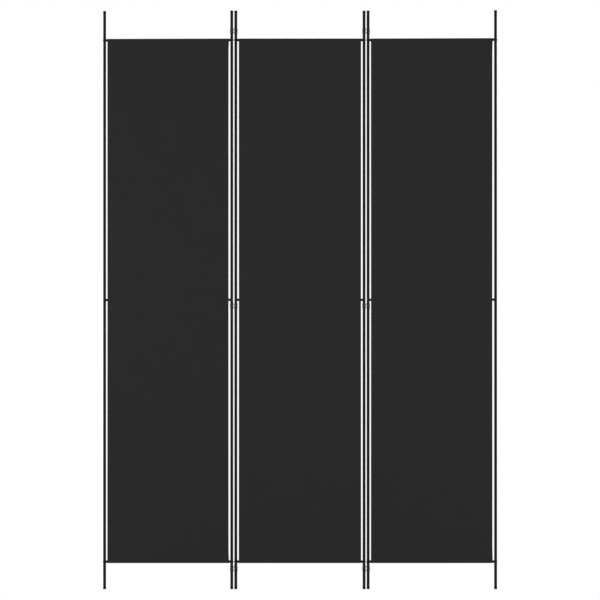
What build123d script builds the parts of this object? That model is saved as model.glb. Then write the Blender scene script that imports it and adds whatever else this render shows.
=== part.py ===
from build123d import *
import os

# Folding room divider screen: three slim tube frames, each covered with a cloth, joined by hinge clips
# that turn on the posts of both neighbours, so that the wings fold flat on the centre panel.
# Millimetres and degrees. Z = 0 is the floor, the front faces -Y, and the origin lies under the middle
# of the centre panel. A panel is built about its own middle, with its posts in the plane Y = 0.

# Whole screen
SCREEN_HEIGHT = 2200.0
POST_SPACING = 487.5  # between the axes of one panel's two posts
HINGE_GAP = 4.5  # free space between the posts of neighbouring panels
STANDING_FOLD = 7.0  # turn of each wing out of the centre panel's plane as the screen stands

# Tubes
POST_DIAMETER = 11.0
BAR_DIAMETER = 10.0  # top and bottom bars
MIDDLE_BAR_DIAMETER = 9.4
TUBE_WALL = 0.8
TUBE_EDGE = 0.25  # broken outer edge at the ends of posts and tee collars

# Heights of the bars
BOTTOM_BAR_HEIGHT = 105.0
MIDDLE_BAR_HEIGHT = 1100.0
TOP_BAR_DROP = 112.0  # below the top of the screen

# Fits between pieces, all on the radius
FIT_CLEARANCE = 0.05  # plugs and spigots in their tubes
SEAT_CLEARANCE = 0.05  # bar ends and bolt heads on a round post
BOLT_HOLE_CLEARANCE = 0.2
THREAD_CLEARANCE = 0.05
HINGE_CLEARANCE = 0.08  # hinge clip turning on a post
SLEEVE_CLEARANCE = 0.3  # cloth sleeve on a bar

# Middle tees, which join the lower and upper tubes of a post and carry the middle bar
TEE_HEIGHT = 12.0
SPIGOT_LENGTH = 30.0
STUB_LENGTH = 16.0
SPIGOT_CHAMFER = 0.8

# Top caps and feet
CAP_DIAMETER = 11.4
CAP_HEIGHT = 9.0
CAP_ROUNDING = 2.0
FOOT_HEIGHT = 9.0
FOOT_CHAMFER = 0.8
CAP_PLUG_LENGTH = 14.0

# Bolts and the threaded plugs in the bar ends
BOLT_DIAMETER = 4.0
BOLT_HEAD_DIAMETER = 7.5
BOLT_HEAD_HEIGHT = 1.3  # crown of the dome above the post
BOLT_HEAD_RIM = 0.35  # upright rim under the dome
BOLT_HEAD_SKIRT = 1.8  # how far the hollow underside reaches down the round post
BOLT_SOCKET_WIDTH = 2.5  # across the flats
BOLT_SOCKET_DEPTH = 1.6
THREAD_LENGTH = 11.0  # of the bolt inside its plug
BAR_PLUG_LENGTH = 14.0
BAR_PLUG_SETBACK = 0.5  # from the post's surface

# Hinge clips: two barrel-shaped collars joined by two ribs, with a window between the ribs
HINGE_HEIGHT = 22.0
HINGE_WALL = 1.0  # at the waist of the barrel
HINGE_LIP = 0.5  # at its ends
HINGE_RIB_SPACING = 11.0
HINGE_RIB_THICKNESS = 1.5
HINGE_RIB_DEPTH = 8.0
HINGE_RIB_ROUNDING = 0.4
HINGE_WINDOW_WIDTH = 6.0
TOP_HINGE_RISE = 34.0  # above the top bar
MIDDLE_HINGE_DROP = 23.0  # below the middle bar
BOTTOM_HINGE_DROP = 26.5  # below the bottom bar

# Cloth: a flat sheet on the front of the bars, closed behind them by a sewn flap
FABRIC_EDGE_GAP = 5.9  # from the cloth's side edge to the post
FABRIC_THICKNESS = 0.55
SLEEVE_SEAM_DROP = 34.0  # from the bar's axis to the seam that closes the sleeve
SLEEVE_FLAP_LENGTH = 12.0  # flap lying on the sheet past the seam

# Worked out from the sizes above
POST_RADIUS = POST_DIAMETER / 2
POST_BORE = POST_DIAMETER - 2 * TUBE_WALL
SPIGOT_DIAMETER = POST_BORE - 2 * FIT_CLEARANCE
HALF_SPACING = POST_SPACING / 2
HINGE_PITCH = POST_DIAMETER + HINGE_GAP
TOP_BAR_HEIGHT = SCREEN_HEIGHT - TOP_BAR_DROP
TEE_BOTTOM = MIDDLE_BAR_HEIGHT - TEE_HEIGHT / 2
TEE_TOP = MIDDLE_BAR_HEIGHT + TEE_HEIGHT / 2
POST_TOP = SCREEN_HEIGHT - CAP_HEIGHT
FABRIC_WIDTH = POST_SPACING - POST_DIAMETER - 2 * FABRIC_EDGE_GAP
SLEEVE_RADIUS = max(BAR_DIAMETER, MIDDLE_BAR_DIAMETER) / 2 + SLEEVE_CLEARANCE
HINGE_HEIGHTS = {
    "top": TOP_BAR_HEIGHT + TOP_HINGE_RISE,
    "middle": MIDDLE_BAR_HEIGHT - MIDDLE_HINGE_DROP,
    "bottom": BOTTOM_BAR_HEIGHT - BOTTOM_HINGE_DROP,
}
SIDES = {"left": -1, "right": 1}
FROM_BOTTOM = (Align.CENTER, Align.CENTER, Align.MIN)


def upright_rod(diameter, bottom, top):
    return Pos(0, 0, bottom) * Cylinder(diameter / 2, top - bottom, align=FROM_BOTTOM)


def level_rod(diameter, start, end):
    """A round rod along X."""
    return Pos(start, 0, 0) * Rot(0, 90, 0) * Cylinder(diameter / 2, end - start, align=FROM_BOTTOM)


def facing(side):
    """Turns what is built towards +X to the given side."""
    return Rot(0, 0, 0 if side > 0 else 180)


# Posts and what closes and joins them, about the post's own axis


def post_length(bottom, top):
    """A rod of the post's diameter with broken edges at both ends."""
    rod = upright_rod(POST_DIAMETER, bottom, top)
    return chamfer(rod.edges().filter_by(GeomType.CIRCLE), TUBE_EDGE)


def post_tube(bottom, top, bolt_height):
    tube = post_length(bottom, top) - upright_rod(POST_BORE, bottom, top)
    hole = level_rod(BOLT_DIAMETER + 2 * BOLT_HOLE_CLEARANCE, -POST_DIAMETER, POST_DIAMETER)
    return tube - Pos(0, 0, bolt_height) * hole


def middle_tee():
    """Built with its stub along +X."""
    collar = post_length(TEE_BOTTOM, TEE_TOP)
    spigot = upright_rod(SPIGOT_DIAMETER, TEE_BOTTOM - SPIGOT_LENGTH, TEE_TOP + SPIGOT_LENGTH)
    spigot = chamfer(spigot.edges().filter_by(GeomType.CIRCLE), SPIGOT_CHAMFER)
    stub_diameter = MIDDLE_BAR_DIAMETER - 2 * TUBE_WALL - 2 * FIT_CLEARANCE
    stub = level_rod(stub_diameter, 0, POST_RADIUS + STUB_LENGTH)
    stub = chamfer(stub.edges().filter_by(GeomType.CIRCLE).sort_by(Axis.X)[-1], SPIGOT_CHAMFER)
    return collar + spigot + Pos(0, 0, MIDDLE_BAR_HEIGHT) * stub


def top_cap():
    head = upright_rod(CAP_DIAMETER, POST_TOP, SCREEN_HEIGHT)
    head = fillet(head.edges().group_by(Axis.Z)[-1], CAP_ROUNDING)
    plug = upright_rod(SPIGOT_DIAMETER, POST_TOP - CAP_PLUG_LENGTH, POST_TOP)
    plug = chamfer(plug.edges().group_by(Axis.Z)[0], SPIGOT_CHAMFER)
    return head + plug


def foot():
    pad = upright_rod(CAP_DIAMETER, 0, FOOT_HEIGHT)
    pad = chamfer(pad.edges().group_by(Axis.Z)[0], FOOT_CHAMFER)
    plug = upright_rod(SPIGOT_DIAMETER, FOOT_HEIGHT, FOOT_HEIGHT + CAP_PLUG_LENGTH)
    plug = chamfer(plug.edges().group_by(Axis.Z)[-1], SPIGOT_CHAMFER)
    return pad + plug


# Bars, with the plugs and bolts that hold them to the posts


def cross_bar(diameter, height):
    """A level tube whose ends are cut hollow to sit on the round posts."""
    bar = level_rod(diameter, -HALF_SPACING, HALF_SPACING)
    bar -= level_rod(diameter - 2 * TUBE_WALL, -HALF_SPACING, HALF_SPACING)
    seat = Cylinder(POST_RADIUS + SEAT_CLEARANCE, 2 * diameter)
    for side in SIDES.values():
        bar -= Pos(side * HALF_SPACING, 0, 0) * seat
    return Pos(0, 0, height) * bar


def bar_plug():
    """Seen from the post's axis, with the bar along -X."""
    near_end = -POST_RADIUS - BAR_PLUG_SETBACK
    far_end = near_end - BAR_PLUG_LENGTH
    body = level_rod(BAR_DIAMETER - 2 * TUBE_WALL - 2 * FIT_CLEARANCE, far_end, near_end)
    return body - level_rod(BOLT_DIAMETER + 2 * THREAD_CLEARANCE, far_end, near_end)


def bar_bolt():
    """Seen from the post's axis, with its head on the +X side and the bar along -X."""
    crown = POST_RADIUS + BOLT_HEAD_HEIGHT
    head_radius = BOLT_HEAD_DIAMETER / 2
    rim = (POST_RADIUS + BOLT_HEAD_RIM, head_radius)
    skirt = POST_RADIUS - BOLT_HEAD_SKIRT
    outline = Polyline((crown, 0), (skirt, 0), (skirt, head_radius), rim)
    outline += TangentArc((crown, 0), rim, tangent=(0, 1))
    head = revolve(make_face(outline), Axis.X)
    head -= Cylinder(POST_RADIUS + SEAT_CLEARANCE, 2 * BOLT_HEAD_DIAMETER)
    shank_end = -POST_RADIUS - BAR_PLUG_SETBACK - THREAD_LENGTH
    bolt = head + level_rod(BOLT_DIAMETER, shank_end, POST_RADIUS + BOLT_HEAD_RIM)
    socket = extrude(RegularPolygon(BOLT_SOCKET_WIDTH / 2, 6, major_radius=False), BOLT_SOCKET_DEPTH)
    return bolt - Pos(crown - BOLT_SOCKET_DEPTH, 0, 0) * Rot(0, 90, 0) * socket


def at_bar_ends(piece):
    """Copies of a piece at both ends of the top and bottom bars."""
    copies = []
    for height in (BOTTOM_BAR_HEIGHT, TOP_BAR_HEIGHT):
        for side in SIDES.values():
            copies.append(Pos(side * HALF_SPACING, 0, height) * facing(side) * piece)
    return Compound(children=copies)


# Cloth


def sleeve_profile():
    """Cloth round the bar and back down to the sheet, with the bar's axis at the origin."""
    inside = SLEEVE_RADIUS
    outside = SLEEVE_RADIUS + FABRIC_THICKNESS
    upper_half = Rectangle(2 * outside, outside, align=(Align.CENTER, Align.MIN))
    over_the_bar = (Circle(outside) - Circle(inside)) & upper_half
    behind_the_bar = Polygon(
        (inside, 0),
        (outside, 0),
        (FABRIC_THICKNESS - inside, -SLEEVE_SEAM_DROP),
        (-inside, -SLEEVE_SEAM_DROP),
        align=None,
    )
    flap_middle = Pos(FABRIC_THICKNESS / 2 - inside, -SLEEVE_SEAM_DROP - SLEEVE_FLAP_LENGTH / 2)
    flap = flap_middle * Rectangle(FABRIC_THICKNESS, SLEEVE_FLAP_LENGTH)
    return over_the_bar + behind_the_bar + flap


def fabric():
    sheet_length = TOP_BAR_HEIGHT - BOTTOM_BAR_HEIGHT
    sheet_middle = Pos(-SLEEVE_RADIUS - FABRIC_THICKNESS / 2, BOTTOM_BAR_HEIGHT + sheet_length / 2)
    profile = sheet_middle * Rectangle(FABRIC_THICKNESS, sheet_length)
    profile += Pos(0, TOP_BAR_HEIGHT) * sleeve_profile()
    profile += Pos(0, BOTTOM_BAR_HEIGHT) * mirror(sleeve_profile(), Plane.XZ)
    return extrude(Plane.YZ * profile, FABRIC_WIDTH / 2, both=True)


# Hinge clip, about the axis of the centre panel's post, with the wing's post along +X


def hinge_clip():
    bore_radius = POST_RADIUS + HINGE_CLEARANCE
    half_height = HINGE_HEIGHT / 2
    lip_radius = bore_radius + HINGE_LIP
    outline = Polyline(
        (lip_radius, half_height),
        (bore_radius, half_height),
        (bore_radius, -half_height),
        (lip_radius, -half_height),
    )
    waist = (bore_radius + HINGE_WALL, 0)
    outline += ThreePointArc((lip_radius, -half_height), waist, (lip_radius, half_height))
    collar = revolve(Plane.XZ * make_face(outline), Axis.Z)
    post_axes = Locations((0, 0), (HINGE_PITCH, 0)).locations
    rib = Box(HINGE_PITCH, HINGE_RIB_DEPTH, HINGE_RIB_THICKNESS)
    rib = fillet(rib.edges().filter_by(Axis.X), HINGE_RIB_ROUNDING)
    window = Box(HINGE_PITCH, HINGE_WINDOW_WIDTH, HINGE_RIB_SPACING - HINGE_RIB_THICKNESS)
    clip = Pos(HINGE_PITCH / 2, 0, HINGE_RIB_SPACING / 2) * rib
    clip += Pos(HINGE_PITCH / 2, 0, -HINGE_RIB_SPACING / 2) * rib
    for axis in post_axes:
        clip += axis * collar
    clip -= Pos(HINGE_PITCH / 2, 0, 0) * window
    for axis in post_axes:
        clip -= axis * Cylinder(bore_radius, 2 * HINGE_HEIGHT)
    return clip


# Assembly


def clip_place(side):
    """The hinge clip's turn on the centre panel's post."""
    return Pos(side * HALF_SPACING, 0, 0) * Rot(0, 0, -STANDING_FOLD / 2)


def wing_place(side):
    """The wing's turn on the hinge clip, as far again, and on to the wing's own middle."""
    turn = clip_place(side) * Pos(side * HINGE_PITCH, 0, 0) * Rot(0, 0, -STANDING_FOLD / 2)
    return turn * Pos(side * HALF_SPACING, 0, 0)


def panel_pieces():
    pieces = {
        "top_bar": cross_bar(BAR_DIAMETER, TOP_BAR_HEIGHT),
        "middle_bar": cross_bar(MIDDLE_BAR_DIAMETER, MIDDLE_BAR_HEIGHT),
        "bottom_bar": cross_bar(BAR_DIAMETER, BOTTOM_BAR_HEIGHT),
        "bar_plugs": at_bar_ends(bar_plug()),
        "bar_bolts": at_bar_ends(bar_bolt()),
        "fabric": fabric(),
    }
    post_pieces = {
        "lower_post": post_tube(FOOT_HEIGHT, TEE_BOTTOM, BOTTOM_BAR_HEIGHT),
        "upper_post": post_tube(TEE_TOP, POST_TOP, TOP_BAR_HEIGHT),
        "middle_tee": middle_tee(),
        "top_cap": top_cap(),
        "foot": foot(),
    }
    for side_name, side in SIDES.items():
        post_place = Pos(side * HALF_SPACING, 0, 0) * facing(-side)
        for name, piece in post_pieces.items():
            pieces[f"{side_name}_{name}"] = post_place * piece
    return pieces


def main():
    os.makedirs("parts", exist_ok=True)
    panels = {"left": wing_place(-1), "centre": Pos(0, 0, 0), "right": wing_place(1)}
    pieces = panel_pieces()
    for panel, place in panels.items():
        for name, piece in pieces.items():
            export_step(place * piece, f"parts/{panel}_{name}.step")
    clip = hinge_clip()
    for side_name, side in SIDES.items():
        for level, height in HINGE_HEIGHTS.items():
            placed = clip_place(side) * Pos(0, 0, height) * facing(side) * clip
            export_step(placed, f"parts/{side_name}_{level}_hinge.step")


main()
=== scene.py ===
import math

import bpy
import numpy as np
from mathutils import Matrix, Vector


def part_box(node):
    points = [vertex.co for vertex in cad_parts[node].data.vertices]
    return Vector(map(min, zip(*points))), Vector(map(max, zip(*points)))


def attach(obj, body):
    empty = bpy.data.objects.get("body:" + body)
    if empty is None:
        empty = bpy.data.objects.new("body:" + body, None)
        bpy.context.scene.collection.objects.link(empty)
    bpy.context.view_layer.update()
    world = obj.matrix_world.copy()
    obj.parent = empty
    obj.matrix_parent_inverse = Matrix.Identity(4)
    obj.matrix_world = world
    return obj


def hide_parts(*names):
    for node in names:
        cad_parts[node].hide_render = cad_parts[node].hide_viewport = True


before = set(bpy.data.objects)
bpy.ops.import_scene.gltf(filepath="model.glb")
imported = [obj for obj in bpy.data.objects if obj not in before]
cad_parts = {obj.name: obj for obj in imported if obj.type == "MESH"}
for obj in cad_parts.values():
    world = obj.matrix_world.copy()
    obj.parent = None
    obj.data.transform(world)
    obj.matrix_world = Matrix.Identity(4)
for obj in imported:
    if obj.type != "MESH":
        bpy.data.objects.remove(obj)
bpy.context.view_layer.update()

# Looks of a folding room divider screen: three slim tube frames with a black cloth each, joined by
# clips. Metres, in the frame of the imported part. A panel's own coordinates run across it, to its
# back and up. Noise scales in the materials are in waves a metre.

scene = bpy.context.scene
scene.view_settings.view_transform = "Standard"

MM = 0.001
PANELS = ("left", "centre", "right")
POST_SIDES = ("left", "right")

# Cloth
CLOTH_THICKNESS = 0.30 * MM
LAYER = 0.34 * MM  # from one cloth layer to the next where they lie on each other
HEM_WIDTH = 12 * MM
HEM_SEAM = 9.5 * MM  # from the cloth's side edge to the hem's stitches
SEAM_DROP = 34 * MM  # from a bar's axis to where its sleeve closes
FLAP_LENGTH = 12 * MM
FLAP_SEAM = 5 * MM  # from the sleeve's closing line to its stitches
SEAM_BEND = 5 * MM  # how far the cloth takes to bend into the flap
SIDE_PULL = 0.35 * MM  # how far the tight cloth's sides draw in at half height

# How far the free sheet leaves its plane
FREE_REACH = 60 * MM  # from a bar to where the sheet is free of it
FORWARD = 0.35 * MM  # to the front everywhere, clear of the middle bar
PULL = 0.30 * MM  # short pulls near the sleeves
PULL_REACH = 200 * MM  # how far from the sleeves they fade
SWELL = 0.28 * MM  # long swells
HEM_WAVE = 0.22 * MM  # along the hems
GROOVE_DEPTH = 0.14 * MM  # where stitches draw the cloth in
GROOVE_WIDTH = 1.0 * MM
PHASE_STEP = 2.4  # from one panel's waves to the next one's, in radians

# Mesh of the cloth
ROW_PITCH = 12 * MM  # up the free sheet
SEAM_ROWS = np.array((-3, -1.6, -0.8, 0, 0.8, 1.6, 3)) * MM  # about a sleeve's stitches in front
SEAM_CLEAR = 5 * MM  # no other rows are nearer to those stitches
FLAP_ROWS = np.array((1.6, 0.8, 0, -0.8)) * MM  # about a sleeve's stitches on the flap
BEND_ROWS = np.linspace(0.1, 1, 7)  # shares of the bend from the flap into the sleeve
MIDDLE_COLUMNS = 64  # between the hems
HEM_COLUMNS = np.array((-1.2, -0.6, 0, 0.6, 1.2)) * MM  # about the hem's stitches, folded layer
FACE_COLUMNS = np.array((1.6, 0.8, 0, -0.8, -1.6)) * MM  # about the hem's stitches, front layer
FACE_CLEAR = 3 * MM  # from the hem's stitches to the middle columns
HEM_FOLD = 4 * MM  # from the cloth's side edge to the columns beside the fold

# Stitches
STITCH_PITCH = 4.2 * MM
STITCH_LENGTH = 3.3 * MM
THREAD_RADIUS = 0.19 * MM
STITCH_STATIONS = (  # along half the stitch, rise over the cloth, share of the radius
    (-1, -0.16 * MM, 0.55),
    (-0.5, 0.10 * MM, 1),
    (0.5, 0.10 * MM, 1),
    (1, -0.16 * MM, 0.55),
)
STITCH_FREE = 4 * MM  # from a flap to the first stitch of the hems behind
SEAM_START, SEAM_STOP = 3 * MM, 2 * MM  # from the side edges to a sleeve's stitches

# Yarn and thread
YARN = 0.55 * MM
PLY_TWIST = 0.5 * MM

# Greys, as linear values
COAT_DARK, COAT_PALE = 0.0035, 0.0049
COAT_SPECK = 0.011
COAT_WORN = 0.035
CAP_BLACK = 0.0022
HINGE_BLACK = 0.0085
BOLT_DARK, BOLT_PALE = 0.008, 0.014
BOLT_WORN = 0.16
STEEL_PALE, STEEL_STAINED = 0.42, 0.33
CLOTH_DARK, CLOTH_PALE = 0.0120, 0.0145
# painted shade: the darker grey of the gaps between yarns, where shade falls into the weave
CLOTH_SHADE_BETWEEN_YARNS = 0.0070
CLOTH_SLUB = 0.022
CLOTH_CLOUD = 0.0105
THREAD_DARK, THREAD_PALE = 0.014, 0.026
FLOOR_DARK, FLOOR_PALE = 0.86, 0.90
WHITE = 1.0

# Picture
PICTURE_WIDTH = 2.2808  # what 600 pixels show
PICTURE_CENTRE = (0.0002, 1.0994)  # across and up
HALF_ANGLE = math.radians(0.8)  # half of what the long lens takes in

# Stage
AMBIENT = 0.72  # strength of the even light
FLOOR_REACH = 30.0
FADE_FROM, FADE_TO = 0.9, 3.2  # from the middle of the screen, where the floor turns white
FADE_LEAST = 0.35  # share of white near the screen
LAMP_AIM = (0, 0, 1.1)
LAMPS = (  # name, position, diameter, watts
    ("key", (-2.4, -3.8, 1.2), 2.2, 95),
    ("fill", (3.2, -3.0, 1.1), 2.0, 49),
    ("back", (1.6, 3.8, 2.2), 2.8, 110),
)


def local_frame(panel):
    """A panel's matrix from its own coordinates to the part's, read from where its feet stand."""
    feet = []
    for side in POST_SIDES:
        low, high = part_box(f"{panel}_{side}_foot")
        feet.append((low + high) / 2)
    left, right = feet
    across = right - left
    across.z = 0
    across.normalize()
    back = Vector((0, 0, 1)).cross(across)
    origin = (left + right) / 2
    return Matrix((
        (across.x, back.x, 0, origin.x),
        (across.y, back.y, 0, origin.y),
        (0, 0, 1, 0),
        (0, 0, 0, 1),
    ))


def local_points(panel, node):
    """A node's corners in its panel's own coordinates."""
    inverse = local_frame(panel).inverted()
    return np.array([inverse @ v.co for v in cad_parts[node].data.vertices])


def new_piece(name, points, faces, smooth=True):
    mesh = bpy.data.meshes.new(name)
    mesh.from_pydata([tuple(p) for p in points], [], faces)
    if smooth:
        mesh.polygons.foreach_set("use_smooth", [True] * len(mesh.polygons))
    mesh.update()
    piece = bpy.data.objects.new(name, mesh)
    scene.collection.objects.link(piece)
    return piece


# Shader graphs


class Graph:
    """A node tree with short calls for the nodes used here."""

    def __init__(self, tree):
        self.tree = tree
        tree.nodes.clear()

    def add(self, kind, inputs=(), **settings):
        made = self.tree.nodes.new(kind)
        for key, value in settings.items():
            setattr(made, key, value)
        for key, value in dict(inputs).items():
            self.put(value, made.inputs[key])
        return made

    def put(self, value, socket):
        if isinstance(value, bpy.types.NodeSocket):
            self.tree.links.new(value, socket)
        else:
            socket.default_value = value

    def math(self, operation, a, b=0.0):
        return self.add("ShaderNodeMath", {0: a, 1: b}, operation=operation).outputs[0]

    def noise(self, vector, scale, detail=2.0, roughness=0.5):
        inputs = {"Vector": vector, "Scale": scale, "Detail": detail, "Roughness": roughness}
        return self.add("ShaderNodeTexNoise", inputs).outputs[0]

    def stretch(self, vector, scales):
        made = self.add("ShaderNodeVectorMath", {0: vector, 1: scales}, operation="MULTIPLY")
        return made.outputs[0]

    def span(self, value, low, high, to_low=0.0, to_high=1.0):
        """value from low to high, taken smoothly to the other two."""
        inputs = {0: value, 1: low, 2: high, 3: to_low, 4: to_high}
        made = self.add("ShaderNodeMapRange", inputs, interpolation_type="SMOOTHSTEP")
        return made.outputs[0]

    def colour(self, share, a, b):
        made = self.add("ShaderNodeMix", data_type="RGBA")
        for key, value in ((0, share), (6, a), (7, b)):
            self.put(value, made.inputs[key])
        return made.outputs[2]

    def bump(self, height, distance, normal=None):
        inputs = {"Height": height, "Distance": distance}
        if normal is not None:
            inputs["Normal"] = normal
        return self.add("ShaderNodeBump", inputs).outputs[0]

    def edges(self, radius):
        """1 on sharp edges, 0 a radius away from them."""
        rounded = self.add("ShaderNodeBevel", {"Radius": radius}, samples=6).outputs[0]
        plain = self.add("ShaderNodeNewGeometry").outputs["Normal"]
        dot = self.add("ShaderNodeVectorMath", {0: rounded, 1: plain}, operation="DOT_PRODUCT")
        return self.span(dot.outputs["Value"], 0.995, 0.90)

    def place(self):
        return self.add("ShaderNodeTexCoord").outputs["Object"]

    def surface(self, **inputs):
        shader = self.add("ShaderNodeBsdfPrincipled", inputs)
        output = self.add("ShaderNodeOutputMaterial")
        self.tree.links.new(shader.outputs[0], output.inputs[0])

    def looked_at(self):
        """1 where the camera or a mirror or clear surface looks, 0 where light only falls."""
        path = self.add("ShaderNodeLightPath").outputs
        seen = self.math("MAXIMUM", path["Is Camera Ray"], path["Is Glossy Ray"])
        return self.math("MAXIMUM", seen, path["Is Transmission Ray"])


def grey(level, tint=0.0):
    """A grey as a shader colour, cooler for a tint above 0."""
    return (level * (1 - tint), level, level * (1 + tint), 1.0)


def new_material(name):
    material = bpy.data.materials.new(name)
    material.use_nodes = True
    return material, Graph(material.node_tree)


def powder_coat():
    """Black powder coat: a fine orange peel, faint clouds of sheen, thinner and greyer on edges."""
    material, g = new_material("powder_coat")
    at = g.place()
    clouds = g.noise(at, 38, 3)
    grain = g.noise(at, 1500, 2)
    peel = g.noise(at, 520, 2, 0.4)
    worn = g.math("MULTIPLY", g.edges(0.35 * MM), g.span(g.noise(at, 240, 3), 0.40, 0.62))
    base = g.colour(g.span(clouds, 0.3, 0.7), grey(COAT_DARK, 0.03), grey(COAT_PALE, 0.03))
    base = g.colour(g.span(grain, 0.60, 0.78, 0, 0.55), base, grey(COAT_SPECK))
    base = g.colour(worn, base, grey(COAT_WORN))
    rough = g.math("ADD", g.span(clouds, 0.3, 0.7, 0.40, 0.50), g.span(grain, 0.3, 0.7, 0, 0.06))
    normal = g.bump(grain, 0.012 * MM, g.bump(peel, 0.05 * MM))
    g.surface(**{
        "Base Color": base,
        "Roughness": rough,
        "Normal": normal,
        "Specular IOR Level": 0.07,
    })
    return material


def moulded_plastic(name, level, grain_scale, shine):
    """Black moulded plastic: eroded tool grain, flow clouds, edges polished and paler by use."""
    material, g = new_material(name)
    at = g.place()
    flow = g.noise(g.stretch(at, (1, 1, 0.35)), 130, 3)
    grain = g.noise(at, grain_scale, 3, 0.6)
    edge = g.edges(0.3 * MM)
    rubbed = g.math("MULTIPLY", edge, g.span(g.noise(at, 420, 3), 0.35, 0.65))
    base = g.colour(g.span(flow, 0.3, 0.7), grey(level * 0.85), grey(level * 1.15))
    base = g.colour(rubbed, base, grey(level * 3.5))
    polish = g.math("MULTIPLY", rubbed, 0.14)
    rough = g.math("SUBTRACT", g.span(grain, 0.3, 0.7, 0.50, 0.64), polish)
    g.surface(**{
        "Base Color": base,
        "Roughness": rough,
        "Normal": g.bump(grain, 0.025 * MM),
        "Specular IOR Level": shine,
    })
    return material


def black_bolt():
    """Blackened steel: smooth and dark, bright along the rim and the socket's edges."""
    material, g = new_material("black_bolt")
    at = g.place()
    clouds = g.noise(at, 700, 3)
    worn = g.math("MULTIPLY", g.edges(0.22 * MM), g.span(g.noise(at, 900, 3), 0.42, 0.62))
    base = g.colour(g.span(clouds, 0.3, 0.7), grey(BOLT_DARK, 0.05), grey(BOLT_PALE, 0.05))
    base = g.colour(worn, base, grey(BOLT_WORN))
    metal = g.span(worn, 0.1, 0.8, 0.25, 0.9)
    rough = g.span(clouds, 0.3, 0.7, 0.34, 0.46)
    g.surface(**{
        "Base Color": base,
        "Metallic": metal,
        "Roughness": rough,
        "Normal": g.bump(clouds, 0.01 * MM),
        "Specular IOR Level": 0.2,
    })
    return material


def turned_steel():
    """Bare turned steel of the threaded plugs inside the bars."""
    material, g = new_material("turned_steel")
    at = g.place()
    rings = g.noise(g.stretch(at, (9000, 60, 60)), 1.0, 2)
    stain = g.noise(at, 300, 3)
    base = g.colour(g.span(stain, 0.35, 0.7), grey(STEEL_PALE, 0.02), grey(STEEL_STAINED, 0.01))
    rough = g.span(rings, 0.3, 0.7, 0.28, 0.42)
    g.surface(**{
        "Base Color": base,
        "Metallic": 1.0,
        "Roughness": rough,
        "Normal": g.bump(rings, 0.006 * MM),
    })
    return material


def woven_cloth():
    """Black plain-weave polyester: over-and-under yarns of uneven width, slubs, faint clouds, and
    painted shade in the gaps between the yarns.
    """
    material, g = new_material("woven_cloth")
    at = g.add("ShaderNodeAttribute", attribute_name="cloth_place").outputs["Vector"]
    part = g.add("ShaderNodeSeparateXYZ", {0: at})
    across = g.math("SINE", g.math("MULTIPLY", part.outputs[0], math.pi / YARN))
    along = g.math("SINE", g.math("MULTIPLY", part.outputs[1], math.pi / YARN))
    over = g.span(g.math("MULTIPLY", across, along), -0.25, 0.25)
    warp = g.math("MULTIPLY", g.math("ABSOLUTE", across), over)
    weft = g.math("MULTIPLY", g.math("ABSOLUTE", along), g.math("SUBTRACT", 1.0, over))
    weave = g.math("ADD", warp, weft)
    warp_yarns = g.noise(g.stretch(at, (1 / YARN, 9, 1)), 1.0, 3, 0.6)
    weft_yarns = g.noise(g.stretch(at, (7, 1 / YARN, 1)), 1.0, 3, 0.6)
    yarns = g.math("ADD", warp_yarns, weft_yarns)
    slubs = g.noise(g.stretch(at, (45, 900, 1)), 1.0, 2)
    clouds = g.noise(at, 9, 4, 0.6)
    base = g.colour(g.span(yarns, 0.7, 1.3), grey(CLOTH_DARK), grey(CLOTH_PALE))
    # painted shade: darker grey where the weave sinks between the yarns
    base = g.colour(g.span(weave, 0.0, 0.6, 0.55, 0.0), base, grey(CLOTH_SHADE_BETWEEN_YARNS))
    base = g.colour(g.span(slubs, 0.66, 0.8, 0, 0.6), base, grey(CLOTH_SLUB))
    base = g.colour(g.span(clouds, 0.3, 0.7, 0, 0.18), base, grey(CLOTH_CLOUD))
    height = g.math("ADD", weave, g.math("MULTIPLY", yarns, 0.35))
    rough = g.span(weave, 0.0, 1.0, 0.92, 0.78)
    g.surface(**{
        "Base Color": base,
        "Roughness": rough,
        "Normal": g.bump(height, 0.10 * MM),
        "Specular IOR Level": 0.11,
        "Sheen Weight": 0.06,
        "Sheen Roughness": 0.45,
    })
    return material


def sewing_thread():
    """Black twisted thread, a little shinier than the cloth."""
    material, g = new_material("sewing_thread")
    at = g.place()
    part = g.add("ShaderNodeSeparateXYZ", {0: at})
    twist = g.math("ADD", part.outputs[2], part.outputs[0])
    plies = g.math("SINE", g.math("MULTIPLY", twist, 2 * math.pi / PLY_TWIST))
    fluff = g.noise(at, 2600, 2)
    base = g.colour(g.span(fluff, 0.3, 0.7), grey(THREAD_DARK), grey(THREAD_PALE))
    height = g.math("ADD", plies, fluff)
    rough = g.span(fluff, 0.3, 0.7, 0.5, 0.66)
    g.surface(**{
        "Base Color": base,
        "Roughness": rough,
        "Normal": g.bump(height, 0.02 * MM),
        "Specular IOR Level": 0.25,
        "Sheen Weight": 0.05,
    })
    return material


# Cloth


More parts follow.
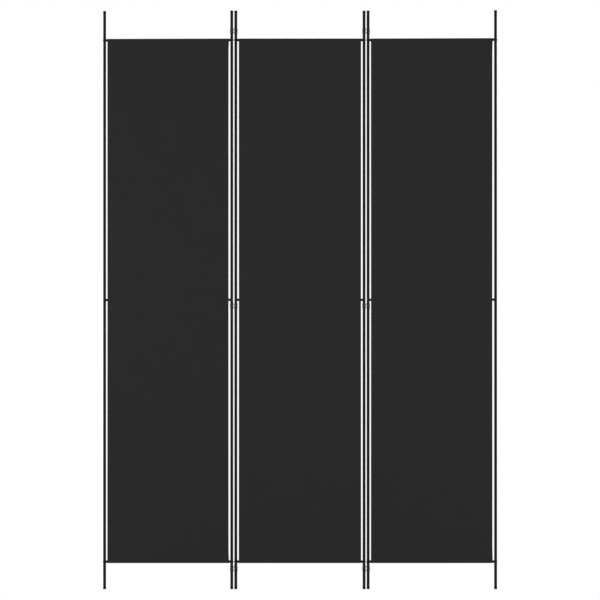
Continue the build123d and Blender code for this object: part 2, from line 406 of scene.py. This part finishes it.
class Cover:
    """One panel's cloth: a single sheet that wraps both bars and is sewn to itself behind them."""

    def __init__(self, panel):
        self.panel = panel
        self.phase = PHASE_STEP * PANELS.index(panel)
        solid = local_points(panel, f"{panel}_fabric")
        self.half = float(np.ptp(solid[:, 0])) / 2
        self.front = float(-solid[:, 1].min()) - CLOTH_THICKNESS / 2
        self.top = self.bar_height("top_bar")
        self.bottom = self.bar_height("bottom_bar")
        self.seams = (self.top - SEAM_DROP - FLAP_SEAM, self.bottom + SEAM_DROP + FLAP_SEAM)
        self.lay_out()

    def bar_height(self, bar):
        low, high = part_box(f"{self.panel}_{bar}")
        return (low.z + high.z) / 2

    def sleeve(self):
        """From the flap's end up behind the bar and over to its front, the bar's axis at 0, 0."""
        radius = self.front
        flap = 3 * LAYER + 2 * GROOVE_DEPTH - radius
        seam = np.array((flap, -SEAM_DROP))
        reach = math.hypot(*seam)
        touch = math.atan2(seam[1], seam[0]) + math.acos(radius / reach)
        leave = radius * np.array((math.cos(touch), math.sin(touch)))
        up_the_back = (leave - seam) / np.linalg.norm(leave - seam)
        bend_from = seam - (0, SEAM_BEND)
        bend_to = seam + SEAM_BEND * up_the_back
        points = [seam - (0, FLAP_LENGTH)]
        points += [seam - (0, FLAP_SEAM + step) for step in FLAP_ROWS]
        for u in BEND_ROWS:
            points.append((1 - u) ** 2 * bend_from + 2 * u * (1 - u) * seam + u ** 2 * bend_to)
        for u in np.linspace(0, 1, 6)[1:]:
            points.append(bend_to + u * (leave - bend_to))
        for angle in np.linspace(touch, math.pi, 20)[1:]:
            points.append(radius * np.array((math.cos(angle), math.sin(angle))))
        return np.array(points)

    def lay_out(self):
        """The sheet's line from flap to flap, seen along the bars, with its inward directions.

        loose is 1 on the free sheet, 0 on the sleeves, and -1 on the flaps, which lie on the
        sheet's back with their inward side to it and so follow it the other way.
        """
        sleeve = self.sleeve()
        upper = sleeve + (0, self.top)
        lower = (sleeve * (1, -1))[::-1] + (0, self.bottom)
        heights = list(np.arange(self.bottom + ROW_PITCH, self.top - ROW_PITCH / 2, ROW_PITCH))
        for seam in self.seams:
            heights = [z for z in heights if abs(z - seam) > SEAM_CLEAR] + list(seam + SEAM_ROWS)
        sheet = np.array([(-self.front, z) for z in sorted(heights, reverse=True)])
        self.line = np.concatenate((upper, sheet, lower))
        steps = np.linalg.norm(np.diff(self.line, axis=0), axis=1)
        self.length = np.concatenate(((0,), np.cumsum(steps)))
        tangent = np.gradient(self.line, self.length, axis=0)
        tangent /= np.linalg.norm(tangent, axis=1)[:, None]
        self.inward = np.stack((-tangent[:, 1], tangent[:, 0]), axis=1)
        bend_from = 1 + len(FLAP_ROWS)
        flap = np.zeros(len(sleeve))
        flap[:bend_from] = 1
        flap[bend_from:bend_from + len(BEND_ROWS)] = 1 - BEND_ROWS
        self.loose = np.concatenate((-flap, np.ones(len(sheet)), -flap[::-1]))
        self.sheet_from = self.length[len(upper)]
        self.sheet_to = self.length[len(upper) + len(sheet) - 1]

    def ripple(self, x, z):
        """How far the free sheet stands forward of its plane, in swells and pulls."""
        p = self.phase
        rise = (z - self.bottom) / (self.top - self.bottom)
        free = np.clip(np.minimum(self.top - z, z - self.bottom) / FREE_REACH, 0, 1)
        free = free * free * (3 - 2 * free)
        from_sleeves = np.exp((z - self.top) / PULL_REACH) + np.exp((self.bottom - z) / PULL_REACH)
        pulls = 0.6 * np.sin(x / 0.0113 + p + 1.3 * np.sin(x / 0.05 + p))
        pulls += 0.4 * np.sin(x / 0.0071 + 2 * p)
        swell = np.sin(x / 0.083 + p + 3.1 * rise) * np.sin(math.pi * rise)
        swell += 0.6 * np.sin(11 * rise + 1.7 * p) * np.cos(x / 0.15 + p)
        side = (x / self.half) ** 6 * np.sin(x * 9 + 29 * rise + p)
        return free * (FORWARD + PULL * pulls * from_sleeves + SWELL * swell + HEM_WAVE * side)

    def groove(self, x, z):
        """How far the stitches draw the free sheet in."""
        depth = np.exp(-((np.abs(x) - self.half + HEM_SEAM) / GROOVE_WIDTH) ** 2)
        for seam in self.seams:
            depth = depth + np.exp(-((z - seam) / GROOVE_WIDTH) ** 2)
        return GROOVE_DEPTH * depth

    def place(self, x, length, depth):
        """Points of the sheet in the panel's coordinates, and their inward directions."""
        y, z = (np.interp(length, self.length, self.line[:, k]) for k in (0, 1))
        in_y, in_z = (np.interp(length, self.length, self.inward[:, k]) for k in (0, 1))
        loose = np.interp(length, self.length, self.loose)
        inward = depth - loose * self.ripple(x, z) + np.maximum(loose, 0) * self.groove(x, z)
        rise = np.clip((z - self.bottom) / (self.top - self.bottom), 0, 1)
        drawn = x * (1 - SIDE_PULL / self.half * np.sin(math.pi * rise))
        points = np.stack((drawn, y + inward * in_y, z + inward * in_z), axis=-1)
        normals = np.stack((np.zeros_like(in_y), in_y, in_z), axis=-1)
        return points, normals

    def columns(self):
        """The sheet's line from side to side, both hems folded in: across, depth, cloth length."""
        turn = LAYER / 2
        seam = self.half - HEM_SEAM
        side = [(self.half - HEM_WIDTH, LAYER)]
        side += [(seam + step, LAYER) for step in HEM_COLUMNS]
        side += [(self.half - HEM_FOLD, LAYER)]
        for angle in np.radians((90, 45, 0, -45, -90)):
            side.append((self.half - turn + turn * math.cos(angle), turn + turn * math.sin(angle)))
        side += [(self.half - HEM_FOLD, 0)]
        side += [(seam + step, 0) for step in FACE_COLUMNS]
        side = np.array(side)
        middle = np.linspace(-1, 1, MIDDLE_COLUMNS + 2)[1:-1] * (seam - FACE_CLEAR)
        middle = np.stack((middle, np.zeros_like(middle)), axis=1)
        line = np.concatenate((side * (-1, 1), middle, side[::-1]))
        steps = np.linalg.norm(np.diff(line, axis=0), axis=1)
        return line[:, 0], line[:, 1], np.concatenate(((0,), np.cumsum(steps)))

    def build(self, material):
        across, depth, width = self.columns()
        rows, cols = len(self.length), len(across)
        x = np.tile(across, (rows, 1))
        length = np.tile(self.length[:, None], (1, cols))
        grid = self.place(x, length, depth[None, :])[0].reshape(-1, 3)
        corner = np.arange(rows * cols).reshape(rows, cols)
        quads = (corner[:-1, :-1], corner[1:, :-1], corner[1:, 1:], corner[:-1, 1:])
        quads = np.stack(quads, axis=-1).reshape(-1, 4)
        piece = new_piece(f"{self.panel}_cloth", grid, quads.tolist())
        piece.data.transform(local_frame(self.panel))
        laid = np.zeros((rows, cols, 3), np.float32)
        laid[:, :, 0] = width[None, :]
        laid[:, :, 1] = self.length[:, None]
        attribute = piece.data.attributes.new("cloth_place", "FLOAT_VECTOR", "POINT")
        attribute.data.foreach_set("vector", laid.ravel())
        thicken = piece.modifiers.new("thickness", "SOLIDIFY")
        thicken.thickness = CLOTH_THICKNESS
        thicken.offset = 0
        piece.data.materials.append(material)
        self.flat = (float(width[-1]), float(self.length[-1]))
        return piece

    def stitch_rows(self):
        """Points, directions and outward directions of all stitches, in the panel's coordinates."""
        rows = []
        lift = CLOTH_THICKNESS / 2
        seam_x = self.half - HEM_SEAM
        whole = np.arange(STITCH_PITCH, self.length[-1] - STITCH_PITCH, STITCH_PITCH)
        flap = SEAM_DROP + FLAP_LENGTH + STITCH_FREE
        open_back = np.arange(self.sheet_from + flap, self.sheet_to - flap, STITCH_PITCH)
        for x in (-seam_x, seam_x):
            rows.append(self.row(np.full_like(whole, x), whole, -lift, 1, True))
            rows.append(self.row(np.full_like(open_back, x), open_back, LAYER + lift, -1, True))
        level = np.arange(-self.half + SEAM_START, self.half - SEAM_STOP, STITCH_PITCH)
        sheet = self.loose > 0
        for seam in self.seams:
            on_sheet = np.interp(-seam, -self.line[sheet, 1], self.length[sheet])
            rows.append(self.row(level, np.full_like(level, on_sheet), -lift, 1, False))
        for on_flap in (FLAP_LENGTH - FLAP_SEAM, self.length[-1] - FLAP_LENGTH + FLAP_SEAM):
            rows.append(self.row(level, np.full_like(level, on_flap), -lift, 1, False))
        return [np.concatenate(kind) for kind in zip(*rows)]

    def row(self, x, length, depth, outward, lengthwise):
        """One row's points and directions; outward is -1 for a row on the cloth's inner side."""
        points, inward = self.place(x, length, depth)
        if lengthwise:
            ahead = np.stack((np.zeros_like(x), -inward[:, 2], inward[:, 1]), axis=-1)
        else:
            ahead = np.tile((1.0, 0.0, 0.0), (len(x), 1))
        return points, ahead, -outward * inward

    def build_stitches(self, material):
        """One small bent piece of thread for each stitch, its ends drawn into the cloth."""
        points, ahead, out = self.stitch_rows()
        beside = np.cross(out, ahead)
        corners = [(math.cos(a), math.sin(a)) for a in np.radians((45, 135, 225, 315))]
        rings = []
        for share, rise, size in STITCH_STATIONS:
            middle = points + ahead * share * STITCH_LENGTH / 2 + out * rise
            for c, s in corners:
                rings.append(middle + size * THREAD_RADIUS * (c * beside + s * out))
        verts = np.stack(rings, axis=1)
        pattern = [(3, 2, 1, 0), (12, 13, 14, 15)]
        for ring in range(len(STITCH_STATIONS) - 1):
            for k in range(4):
                a, b = 4 * ring + k, 4 * ring + (k + 1) % 4
                pattern.append((a, b, b + 4, a + 4))
        first = np.arange(len(points))[:, None, None] * verts.shape[1]
        faces = (first + np.array(pattern)[None]).reshape(-1, 4)
        piece = new_piece(f"{self.panel}_stitching", verts.reshape(-1, 3), faces.tolist())
        piece.data.transform(local_frame(self.panel))
        piece.data.materials.append(material)
        return piece


# Stage


def make_world():
    """White wherever the background is seen or mirrored, and an even soft light on the rest."""
    world = bpy.data.worlds.new("studio")
    world.use_nodes = True
    scene.world = world
    g = Graph(world.node_tree)
    seen = g.looked_at()
    light = g.add("ShaderNodeBackground", {"Color": grey(WHITE), "Strength": AMBIENT})
    white = g.add("ShaderNodeBackground", {"Color": grey(WHITE), "Strength": 1.0})
    mix = g.add("ShaderNodeMixShader", {0: seen, 1: light.outputs[0], 2: white.outputs[0]})
    output = g.add("ShaderNodeOutputWorld")
    g.tree.links.new(mix.outputs[0], output.inputs[0])


def make_floor():
    """A pale matt floor that keeps the shadow and fades to white away from the screen."""
    r = FLOOR_REACH
    corners = [(-r, -r, 0), (r, -r, 0), (r, r, 0), (-r, r, 0)]
    floor = new_piece("floor", corners, [(0, 1, 2, 3)], smooth=False)
    material, g = new_material("pale_floor")
    at = g.place()
    far = g.add("ShaderNodeVectorMath", {0: at}, operation="LENGTH").outputs["Value"]
    fade = g.math("MULTIPLY", g.looked_at(), g.span(far, FADE_FROM, FADE_TO, FADE_LEAST, 1.0))
    tone = g.colour(g.noise(at, 3, 3), grey(FLOOR_DARK), grey(FLOOR_PALE))
    matt = g.add("ShaderNodeBsdfDiffuse", {"Color": tone})
    white = g.add("ShaderNodeEmission", {"Color": grey(WHITE), "Strength": 1.0})
    mix = g.add("ShaderNodeMixShader", {0: fade, 1: matt.outputs[0], 2: white.outputs[0]})
    output = g.add("ShaderNodeOutputMaterial")
    g.tree.links.new(mix.outputs[0], output.inputs[0])
    floor.data.materials.append(material)


def make_lamp(name, position, size, power):
    data = bpy.data.lights.new(name, "AREA")
    data.shape = "DISK"
    data.size = size
    data.energy = power
    lamp = bpy.data.objects.new(name, data)
    scene.collection.objects.link(lamp)
    lamp.location = position
    aim = Vector(LAMP_AIM) - Vector(position)
    lamp.rotation_euler = aim.to_track_quat("-Z", "Y").to_euler()


def make_camera():
    """A long lens far in front, at floor height: the screen seen flat on, the floor edge on."""
    centre = Vector((PICTURE_CENTRE[0], 0, PICTURE_CENTRE[1]))
    away = PICTURE_WIDTH / 2 / math.tan(HALF_ANGLE)
    data = bpy.data.cameras.new("camera")
    data.lens = data.sensor_width / 2 / math.tan(HALF_ANGLE)
    data.clip_start = 1.0
    data.clip_end = 2 * away
    camera = bpy.data.objects.new("camera", data)
    scene.collection.objects.link(camera)
    camera.location = (centre.x, -away, 0)
    camera.rotation_euler = (centre - camera.location).to_track_quat("-Z", "Y").to_euler()
    scene.camera = camera


def dress(node, material):
    """Gives a node of the part its material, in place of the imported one."""
    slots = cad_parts[node].data.materials
    slots.clear()
    slots.append(material)


def main():
    make_camera()
    make_world()
    make_floor()
    for lamp in LAMPS:
        make_lamp(*lamp)

    coat = powder_coat()
    finishes = {
        "post": coat,
        "tee": coat,
        "bar": coat,
        "cap": moulded_plastic("cap_plastic", CAP_BLACK, grain_scale=1700, shine=0.04),
        "foot": moulded_plastic("foot_plastic", CAP_BLACK, grain_scale=1100, shine=0.04),
        "hinge": moulded_plastic("hinge_plastic", HINGE_BLACK, grain_scale=2100, shine=0.14),
        "plugs": turned_steel(),
        "bolts": black_bolt(),
    }
    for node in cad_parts:
        kind = node.split("_")[-1]
        if kind in finishes:
            dress(node, finishes[kind])

    cloth = woven_cloth()
    thread = sewing_thread()
    for panel in PANELS:
        cover = Cover(panel)
        sheet = cover.build(cloth)
        stitches = cover.build_stitches(thread)
        for piece in (sheet, stitches):
            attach(piece, f"{panel}_panel")
        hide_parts(f"{panel}_fabric")


main()
